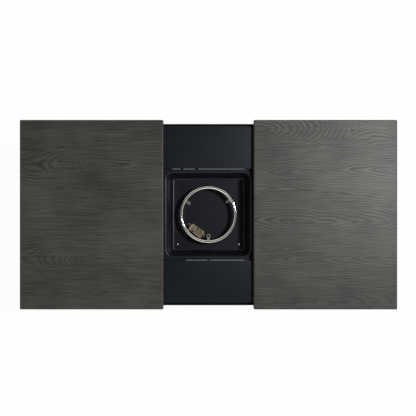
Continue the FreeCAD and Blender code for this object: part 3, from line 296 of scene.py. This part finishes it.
def bare_alloy(name, code, rough):
    """Machined or drawn copper alloy: warm metal, a little darker and duller in patches of
    15 mm from handling. Rough is the roughness of the bright places."""
    patch_size = 0.015
    material, tree, shader = new_finish(name, Metallic=1.0)
    place = add(tree, "ShaderNodeTexCoord", {}).outputs["Object"]
    patch = add(tree, "ShaderNodeTexNoise",
                {"Vector": place, "Scale": 1 / patch_size, "Detail": 4.0}).outputs[0]
    base = linear(code)
    dull = tuple(c * 0.7 for c in base[:3]) + (1.0,)
    colour = add(tree, "ShaderNodeMix", {"Factor": patch, "A": dull, "B": base},
                 data_type="RGBA")
    roughness = add(tree, "ShaderNodeMapRange",
                    {"Value": patch, "To Min": rough + 0.12, "To Max": rough})
    shade(tree, shader, colour.outputs["Result"], roughness.outputs[0], patch,
          distance=0.0001, strength=0.1)
    return material


brass = bare_alloy("machined_brass", "#D8B25E", 0.22)
dress(brass, "gas_valve", "air_mixer", "gas_elbow", "inlet_locknut")
dress(rolled_zinc, "gas_pipe")
dress(bare_alloy("drawn_copper", "#D08A62", 0.25), "thermocouple_capillary")

# Controls: a moulded knob on the valve's stem and the igniter with its push button, in the
# pressed niche of the front panel.

# Nylon: black with a soft sheen
black_nylon = moulded("moulded_black_nylon", "#161616", 0.42, 0.0010)
dress(black_nylon, "control_knob", "igniter_module", "igniter_button")

# Turned bar: bright and hardly tinted, because it stays cool
bar_steel = stainless("polished_stainless_bar", "#D9D9D8", "#C9C4BA", 0.2, 0.14, 0.06)
dress(bar_steel, "valve_stem", "push_rod")

# Tank bay: a flat sheet on two cross rails, with a welded ring for the tank's foot, and the
# folded door at the right end, hung on two pinned hinges, with its pull and magnet catch.

dress(panel_coat, "tank_tray", "tank_door", "hinge_fixed_leaves", "hinge_door_leaves")
dress(rolled_zinc, "hinge_pins", "strike_plate")
dress(bar_steel, "door_pull")
dress(black_nylon, "magnet_catch")

# Leaves: folded sheet steel with an embossed and printed wood grain, satin dark grey. Each
# has zinc-plated ribs, carriages and axles, and white nylon rollers.

# In metres: the grid's cell, the edge bend's radius, drawn as wide as its light line shows, the
# corner's radius within the bend, the sheet, the width of the return under the skirt, the
# relief's depth, and the rim of the flat top over which the relief fades out
leaf_cell = 0.003
leaf_edge = 0.005
leaf_corner = 0.002
leaf_sheet = 0.0015
leaf_return = 0.010
relief_depth = 0.00014
relief_rim = 0.004
# Each eye's y and x, slope to the left and to the right, tilt, own offset, roundness, the
# reach over which it deepens, and how strongly its lines are printed
eyes_right = np.array([
    (0.196, 0.870, 0.150, 0.15, 0.030, 0.000, 1.15, 9.0, 0.95),
    (-0.024, 0.361, 0.24, 0.150, -0.020, 0.000, 1.30, 9.0, 1.0),
    (-0.186, 0.900, 0.145, 0.15, 0.004, 0.008, 1.20, 9.0, 0.65),
    (0.364, 0.225, 0.30, 0.40, 0.010, 0.000, 1.80, 9.0, 1.0),
    (-0.372, 0.330, 0.16, 0.16, 0.000, 0.030, 1.90, 9.0, 0.5),
])
eyes_left = np.array([
    (0.215, -0.430, 0.52, 0.13, 0.000, 0.000, 1.80, 0.22, 0.65),
    (0.030, -0.080, 0.12, 0.20, 0.030, 0.010, 1.30, 0.40, 0.35),
    (-0.186, -0.490, 0.48, 0.12, 0.000, 0.004, 1.90, 0.24, 0.50),
    (-0.330, -0.900, 0.20, 0.07, 0.000, 0.030, 1.50, 0.60, 0.35),
    (0.365, -0.800, 0.20, 0.08, 0.000, 0.030, 1.50, 0.60, 0.40),
])
# Waves of the rings across the board: height, radians per metre along X and Y, and start
grain_waves = (
    (0.0018, 17, 5, 0.0),
    (0.0010, 41, -9, 1.3),
    (0.0007, 97, 37, 0.0),
    (0.0004, 181, -67, 0.7),
)
# Bulges: x, y, half-length along X and along Y, and the shift across the board
grain_bulges = (
    (0.685, 0.370, 0.115, 0.060, 0.045),
    (0.361, -0.062, 0.018, 0.034, -0.030),
    (-0.560, 0.020, 0.140, 0.050, 0.018),
)


def grain_phase(x, y, eyes, ring_width):
    """Growth rings of boards sawn near the pith. Every eye gives a ring radius: its distance
    across the board and its depth, each raised to the eye's roundness, summed and rooted, so
    that a low roundness brings the arches to a point. The depth grows along the board by a
    slope on each side of the eye, and levels off past its reach by a hyperbolic tangent. Both
    are blunted by a root of squares. Sine waves and bulges, which are bell curves, shift the
    rings across the board. The nearest eye wins through a soft minimum, and its radius is
    counted in rings, wide near the pith and narrow outside. The strength of print is each
    eye's own, weighted by how near it is."""
    blunt_depth = 0.003
    blunt_across = 0.002
    seam_width = 0.006
    wide_rings = 3.0
    wide_reach = 0.05
    print_reach = 0.02
    sway = sum(height * np.sin(x * per_x + y * per_y + start)
               for height, per_x, per_y, start in grain_waves)
    for bulge_x, bulge_y, long, wide, shift in grain_bulges:
        sway = sway - shift * np.exp(-((x - bulge_x) / long) ** 2 - ((y - bulge_y) / wide) ** 2)
    radii = []
    for eye_y, eye_x, left, right, tilt, own, roundness, far, _ in eyes:
        along = x - eye_x
        ripple = 0.0012 * np.sin(x * 60 + eye_y * 90)
        drift = 0.004 * np.sin(x * 6.5 + eye_y * 40)
        depth = np.where(along < 0, left, right) * far * np.tanh(abs(along) / far)
        depth = np.sqrt(depth ** 2 + blunt_depth ** 2) + ripple
        across = y - eye_y - tilt * along + sway + drift
        across = np.sqrt(across ** 2 + blunt_across ** 2)
        radii.append((across ** roundness + depth ** roundness) ** (1 / roundness) + own)
    radii = np.array(radii)
    nearest = -seam_width * np.log(np.exp(-radii / seam_width).sum(axis=0))
    phase = nearest / ring_width - wide_rings * (1 - np.exp(-np.maximum(nearest, 0) / wide_reach))
    weight = np.exp(-radii / print_reach)
    return phase, (weight * eyes[:, -1, None, None]).sum(axis=0) / weight.sum(axis=0)


def folded_leaf(name, node, eyes, ring_width):
    """A leaf: a grid over its flat top, whose corners are rounded by drawing each corner square
    into a quarter disc, then a profile carried round its edge: over the bend, down the skirt,
    along the return, back up inside, and a flat underside. Outside the grid the profile
    follows the edge's normals, with the fourth powers of their parts summing to one, which
    keeps the corners as tight as the source's 4 mm. Inside it the edge is scaled towards the
    leaf's middle instead. The relief lowers the top by a sine of the grain's phase."""
    low, high = (np.array(c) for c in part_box(node))
    centre = (low + high) / 2
    half = (high - low) / 2 - leaf_edge
    corner = leaf_corner
    lines = []
    for size in half[:2]:
        count = int(round(2 * (size - corner) / leaf_cell))
        inner = np.linspace(corner - size, size - corner, count + 1)
        ends = size - corner * np.array([2 / 3, 1 / 3, 0])
        lines.append(np.concatenate([-ends[::-1], inner, ends]))
    x, y = np.meshgrid(*lines, indexing="ij")
    u = np.clip((abs(x) - half[0]) / corner + 1, 0, 1)
    v = np.clip((abs(y) - half[1]) / corner + 1, 0, 1)
    x = np.sign(x) * (np.minimum(abs(x), half[0] - corner) + corner * u * np.sqrt(1 - v * v / 2))
    y = np.sign(y) * (np.minimum(abs(y), half[1] - corner) + corner * v * np.sqrt(1 - u * u / 2))
    index = np.arange(x.size).reshape(x.shape)
    loop = np.concatenate([index[:-1, 0], index[-1, :-1], index[:0:-1, -1], index[0, :0:-1]])
    edge = np.stack([x.ravel()[loop], y.ravel()[loop]], axis=1)
    out = edge - np.clip(edge, corner - half[:2], half[:2] - corner)
    out /= np.linalg.norm(out, 4, axis=1)[:, None]

    phase, strength = grain_phase(x + centre[0], y + centre[1], eyes, ring_width)
    rim = np.clip(np.minimum(half[0] - abs(x), half[1] - abs(y)) / relief_rim, 0, 1)
    lowered = relief_depth * strength * (0.5 + 0.5 * np.sin(2 * np.pi * phase)) * rim
    top = np.stack([x + centre[0], y + centre[1], high[2] - lowered], axis=-1).reshape(-1, 3)

    turn = np.radians([15, 30, 45, 60, 75, 90])
    bend_z = high[2] - leaf_edge
    bottom = low[2]
    inside = leaf_edge - leaf_sheet
    lip = inside - leaf_return
    # Small steps that soften the lip's edge, the fold at the skirt's foot and the fold inside
    ease = 0.0003
    fold = 0.001
    crease = 0.0005
    outer_bend = np.stack([leaf_edge * np.sin(turn), bend_z + leaf_edge * np.cos(turn)], axis=1)
    inner_bend = np.stack([inside * np.sin(turn), bend_z + inside * np.cos(turn)], axis=1)
    profile = np.array([
        *outer_bend,
        (leaf_edge, bottom + leaf_sheet),
        (leaf_edge - ease, bottom + ease),
        (leaf_edge - fold, bottom),
        (lip + ease, bottom),
        (lip, bottom + ease),
        (lip, bottom + leaf_sheet),
        (inside - crease, bottom + leaf_sheet),
        (inside, bottom + leaf_sheet + crease),
        *inner_bend[::-1],
        (0.0, high[2] - leaf_sheet),
    ])
    outward, level = profile.T
    path = np.cumsum(np.hypot(np.diff(outward, prepend=0), np.diff(level, prepend=high[2])))
    outward, level, path = (values[:, None, None] for values in (outward, level, path))
    shrunk = edge * (1 + np.minimum(outward, 0) / half[:2])
    ring_xy = shrunk + out * np.maximum(outward, 0) + centre[:2]
    ring_z = np.broadcast_to(level, ring_xy.shape[:2] + (1,))
    rings = np.concatenate([ring_xy, ring_z], axis=2)
    unfolded = edge + out * path + centre[:2]
    ring_phase, ring_strength = grain_phase(unfolded[..., 0], unfolded[..., 1], eyes, ring_width)

    ring_index = x.size + np.arange(rings.shape[0] * rings.shape[1]).reshape(rings.shape[:2])
    rows = np.concatenate([loop[None], ring_index])
    after = np.roll(rows, -1, axis=1)
    a, b, c, d = index[:-1, :-1], index[1:, :-1], index[1:, 1:], index[:-1, 1:]
    faces = np.stack([a, b, c, d], axis=-1).reshape(-1, 4).tolist()
    faces += np.stack([rows[:-1], rows[1:], after[1:], after[:-1]], axis=-1).reshape(-1, 4).tolist()
    faces.append(rows[-1][::-1].tolist())
    points = np.concatenate([top, rings.reshape(-1, 3)])

    mesh = bpy.data.meshes.new(name)
    mesh.from_pydata(points, [], faces)
    mesh.polygons.foreach_set("use_smooth", np.ones(len(faces), bool))
    patterns = (("grain", phase, ring_phase), ("print", strength, ring_strength))
    for label, on_top, on_rings in patterns:
        values = np.concatenate([on_top.ravel(), on_rings.ravel()]).astype(np.float32)
        mesh.attributes.new(label, "FLOAT", "POINT").data.foreach_set("value", values)
    leaf = bpy.data.objects.new(name, mesh)
    bpy.context.scene.collection.objects.link(leaf)
    return leaf


def wood_grain_steel():
    """Printed and embossed steel sheet: dark grey-brown print with paler and darker ring lines
    that fade in and out, streaks drawn out along X, slow clouds of tone, and a satin clear
    coat, duller in the dark lines. Each leaf is darker towards one end: the right one in
    front, the left one at the rear. The real print's streaks are under 1 mm wide, and they
    are drawn at about 4.5 mm to show. A ring line is the sine of the phase plus a third of
    the sine of twice the phase, for the narrow late wood. The tone is a half plus the ring
    lines, streaks, clouds and dark end, each weighted."""
    streak_scale = (9.0, 220.0, 220.0)
    wear_scale = (12.0, 30.0, 30.0)
    cloud_scale = 5.0
    late_weight = 0.35
    streak_weight = 1.6
    cloud_weight = 1.4
    material, tree, shader = new_finish("printed_and_embossed_steel",
                                        Specular_IOR_Level=0.235, IOR=1.5)
    place = add(tree, "ShaderNodeTexCoord", {}).outputs["Object"]
    phase = add(tree, "ShaderNodeAttribute", {}, attribute_name="grain").outputs["Fac"]
    angle = add(tree, "ShaderNodeMath", {0: phase, 1: 2 * math.pi},
                operation="MULTIPLY").outputs[0]
    line = add(tree, "ShaderNodeMath", {0: angle}, operation="SINE").outputs[0]
    twice = add(tree, "ShaderNodeMath", {0: angle, 1: 2.0, 2: 1.0},
                operation="MULTIPLY_ADD").outputs[0]
    late = add(tree, "ShaderNodeMath", {0: twice}, operation="SINE").outputs[0]
    full = add(tree, "ShaderNodeMath", {0: late, 1: late_weight, 2: line},
               operation="MULTIPLY_ADD").outputs[0]
    strength = add(tree, "ShaderNodeAttribute", {}, attribute_name="print").outputs["Fac"]
    ring = add(tree, "ShaderNodeMath", {0: full, 1: strength}, operation="MULTIPLY").outputs[0]
    drawn = add(tree, "ShaderNodeMapping", {"Vector": place, "Scale": streak_scale}).outputs[0]
    streak = add(tree, "ShaderNodeTexNoise",
                 {"Vector": drawn, "Scale": 1.0, "Detail": 3.0}).outputs[0]
    broad = add(tree, "ShaderNodeMapping", {"Vector": place, "Scale": wear_scale}).outputs[0]
    wear = add(tree, "ShaderNodeTexNoise",
               {"Vector": broad, "Scale": 1.0, "Detail": 2.0}).outputs[0]
    fade = add(tree, "ShaderNodeMapRange",
               {"Value": wear, "From Min": 0.38, "From Max": 0.62,
                "To Min": 0.06, "To Max": 0.46}).outputs[0]
    cloud = add(tree, "ShaderNodeTexNoise",
                {"Vector": place, "Scale": cloud_scale, "Detail": 4.0}).outputs[0]
    axes = add(tree, "ShaderNodeSeparateXYZ", {0: place})
    side = add(tree, "ShaderNodeMath", {0: axes.outputs["X"]}, operation="SIGN").outputs[0]
    end = add(tree, "ShaderNodeMath", {0: axes.outputs["Y"], 1: side},
              operation="MULTIPLY").outputs[0]
    dark_end = add(tree, "ShaderNodeMapRange",
                   {"Value": end, "From Min": -0.36, "From Max": -0.10,
                    "To Min": -0.2, "To Max": 0.0},
                   interpolation_type="SMOOTHSTEP").outputs[0]
    ring_part = add(tree, "ShaderNodeMath", {0: ring, 1: fade, 2: 0.5},
                    operation="MULTIPLY_ADD").outputs[0]
    streak_part = add(tree, "ShaderNodeMath",
                      {0: streak, 1: -streak_weight, 2: streak_weight / 2},
                      operation="MULTIPLY_ADD").outputs[0]
    cloud_part = add(tree, "ShaderNodeMath",
                     {0: cloud, 1: cloud_weight, 2: -cloud_weight / 2},
                     operation="MULTIPLY_ADD").outputs[0]
    fine = add(tree, "ShaderNodeMath", {0: ring_part, 1: streak_part}, operation="ADD").outputs[0]
    slow = add(tree, "ShaderNodeMath", {0: cloud_part, 1: dark_end}, operation="ADD").outputs[0]
    tone = add(tree, "ShaderNodeMath", {0: fine, 1: slow},
               operation="ADD", use_clamp=True).outputs[0]
    colour = add(tree, "ShaderNodeMix",
                 {"Factor": tone, "A": linear("#272624"), "B": linear("#494844")},
                 data_type="RGBA")
    roughness = add(tree, "ShaderNodeMapRange", {"Value": tone, "To Min": 0.46, "To Max": 0.42})
    height = add(tree, "ShaderNodeMath", {0: ring, 1: 0.5, 2: streak_part},
                 operation="MULTIPLY_ADD").outputs[0]
    shade(tree, shader, colour.outputs["Result"], roughness.outputs[0], height,
          distance=0.0002, strength=0.5)
    return material


leaf_print = wood_grain_steel()
# Each leaf's side, eyes, and width of a ring far from the pith
for side, eyes, ring_width in (("right", eyes_right, 0.0090), ("left", eyes_left, 0.0075)):
    leaf = folded_leaf(side + "_wood_grain_leaf", side + "_leaf", eyes, ring_width)
    leaf.data.materials.append(leaf_print)
    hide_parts(side + "_leaf")
    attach(leaf, side + "_leaf")
    dress(rolled_zinc, side + "_leaf_ribs", side + "_carriages", side + "_roller_axles")

# White nylon: milky with a soft sheen
white_nylon = moulded("moulded_white_nylon", "#DAD8D0", 0.4, 0.002)
dress(white_nylon, "right_inner_rollers", "right_outer_rollers", "left_inner_rollers",
      "left_outer_rollers")

# Studio: a white paper floor with a faint shadow and a painted shade under the table, a softbox
# on the right and a weak even fill. Gloss shows a bright dome that is dark overhead, with a
# brighter panel in front. The camera is straight above the table.

floor_reach = 12.0
corners = [(-floor_reach, -floor_reach, 0), (floor_reach, -floor_reach, 0),
           (floor_reach, floor_reach, 0), (-floor_reach, floor_reach, 0)]
floor_mesh = bpy.data.meshes.new("floor")
floor_mesh.from_pydata(corners, [], [(0, 1, 2, 3)])
floor = bpy.data.objects.new("floor", floor_mesh)
bpy.context.scene.collection.objects.link(floor)

# The paper glows white to the camera, and only half as much under the table: a painted shade there,
# on top of the real shadow
white = (1.0, 1.0, 1.0, 1.0)
paper, tree, shader = new_finish("white_paper", Base_Color=linear("#E8E8E8"), Roughness=1.0,
                                 Specular_IOR_Level=0.0)
glow = add(tree, "ShaderNodeEmission", {"Color": white, "Strength": 1.0})
ray = add(tree, "ShaderNodeLightPath", {})
place = add(tree, "ShaderNodeTexCoord", {}).outputs["Object"]
distance = add(tree, "ShaderNodeVectorMath", {0: place}, operation="ABSOLUTE").outputs[0]
axes = add(tree, "ShaderNodeSeparateXYZ", {0: distance})
beyond_x = add(tree, "ShaderNodeMapRange",
               {"Value": axes.outputs["X"], "From Min": 0.68, "From Max": 0.92},
               interpolation_type="SMOOTHSTEP").outputs[0]
beyond_y = add(tree, "ShaderNodeMapRange",
               {"Value": axes.outputs["Y"], "From Min": 0.26, "From Max": 0.46},
               interpolation_type="SMOOTHSTEP").outputs[0]
outside_painted_shade = add(tree, "ShaderNodeMath", {0: beyond_x, 1: beyond_y}, operation="MAXIMUM").outputs[0]
# Painted shade: the glow's share falls from 0.97 beyond the table to 0.5 under it
glow_share_painted_shade = add(tree, "ShaderNodeMapRange",
            {"Value": outside_painted_shade, "To Min": 0.5, "To Max": 0.97}).outputs[0]
seen = add(tree, "ShaderNodeMath", {0: ray.outputs["Is Camera Ray"], 1: glow_share_painted_shade},
           operation="MULTIPLY").outputs[0]
blend = add(tree, "ShaderNodeMixShader", {0: seen, 1: shader.outputs[0], 2: glow.outputs[0]})
tree.links.new(blend.outputs[0], tree.nodes["Material Output"].inputs["Surface"])
floor_mesh.materials.append(paper)

even_fill = 0.28
panel_direction = (-0.20, -0.70, 0.68)
world = bpy.data.worlds.new("studio")
bpy.context.scene.world = world
world.use_nodes = True
tree = world.node_tree
background = tree.nodes["Background"]
ray = add(tree, "ShaderNodeLightPath", {})
direction = add(tree, "ShaderNodeTexCoord", {}).outputs["Generated"]
up = add(tree, "ShaderNodeSeparateXYZ", {0: direction}).outputs["Z"]
dome = add(tree, "ShaderNodeMapRange",
           {"Value": up, "From Min": 0.74, "From Max": 0.89, "To Min": 1.20, "To Max": 0.07},
           interpolation_type="SMOOTHSTEP").outputs[0]
toward = add(tree, "ShaderNodeVectorMath", {0: direction, 1: panel_direction},
             operation="DOT_PRODUCT").outputs["Value"]
panel = add(tree, "ShaderNodeMapRange",
            {"Value": toward, "From Min": 0.80, "From Max": 0.98, "To Max": 0.9},
            interpolation_type="SMOOTHSTEP").outputs[0]
bright = add(tree, "ShaderNodeMath", {0: dome, 1: panel}, operation="ADD").outputs[0]
shiny = add(tree, "ShaderNodeMix",
            {"Factor": ray.outputs["Is Glossy Ray"], "A": even_fill, "B": bright}).outputs[0]
strength = add(tree, "ShaderNodeMix",
               {"Factor": ray.outputs["Is Camera Ray"], "A": shiny, "B": 1.0}).outputs[0]
tree.links.new(strength, background.inputs["Strength"])
background.inputs["Color"].default_value = white

softbox = bpy.data.lights.new("softbox", "AREA")
softbox.shape = "DISK"
softbox.size = 0.75
softbox.energy = 300.0
lamp = bpy.data.objects.new("softbox", softbox)
bpy.context.scene.collection.objects.link(lamp)
lamp.location = (2.6, 0.70, 6.0)
lamp_aim = Vector((0.0, 0.0, 0.6))
lamp.rotation_mode = "QUATERNION"
lamp.rotation_quaternion = (lamp_aim - lamp.location).to_track_quat("-Z", "Y")

# One pixel of the photograph spans 4.27 mm on the leaves' tops, 2.6 m below the camera. The
# camera stands half a pixel to the left of the table's middle and 6.7 pixels behind it
pixel = 0.0042655
frame_pixels = 416
top_distance = 2.6
camera_height = 3.22
camera = bpy.data.cameras.new("camera")
camera.sensor_width = 36.0
camera.lens = camera.sensor_width * top_distance / (frame_pixels * pixel)
eye = bpy.data.objects.new("camera", camera)
bpy.context.scene.collection.objects.link(eye)
eye.location = (-0.5 * pixel, 6.7 * pixel, camera_height)
bpy.context.scene.camera = eye
bpy.context.scene.view_settings.view_transform = "Standard"
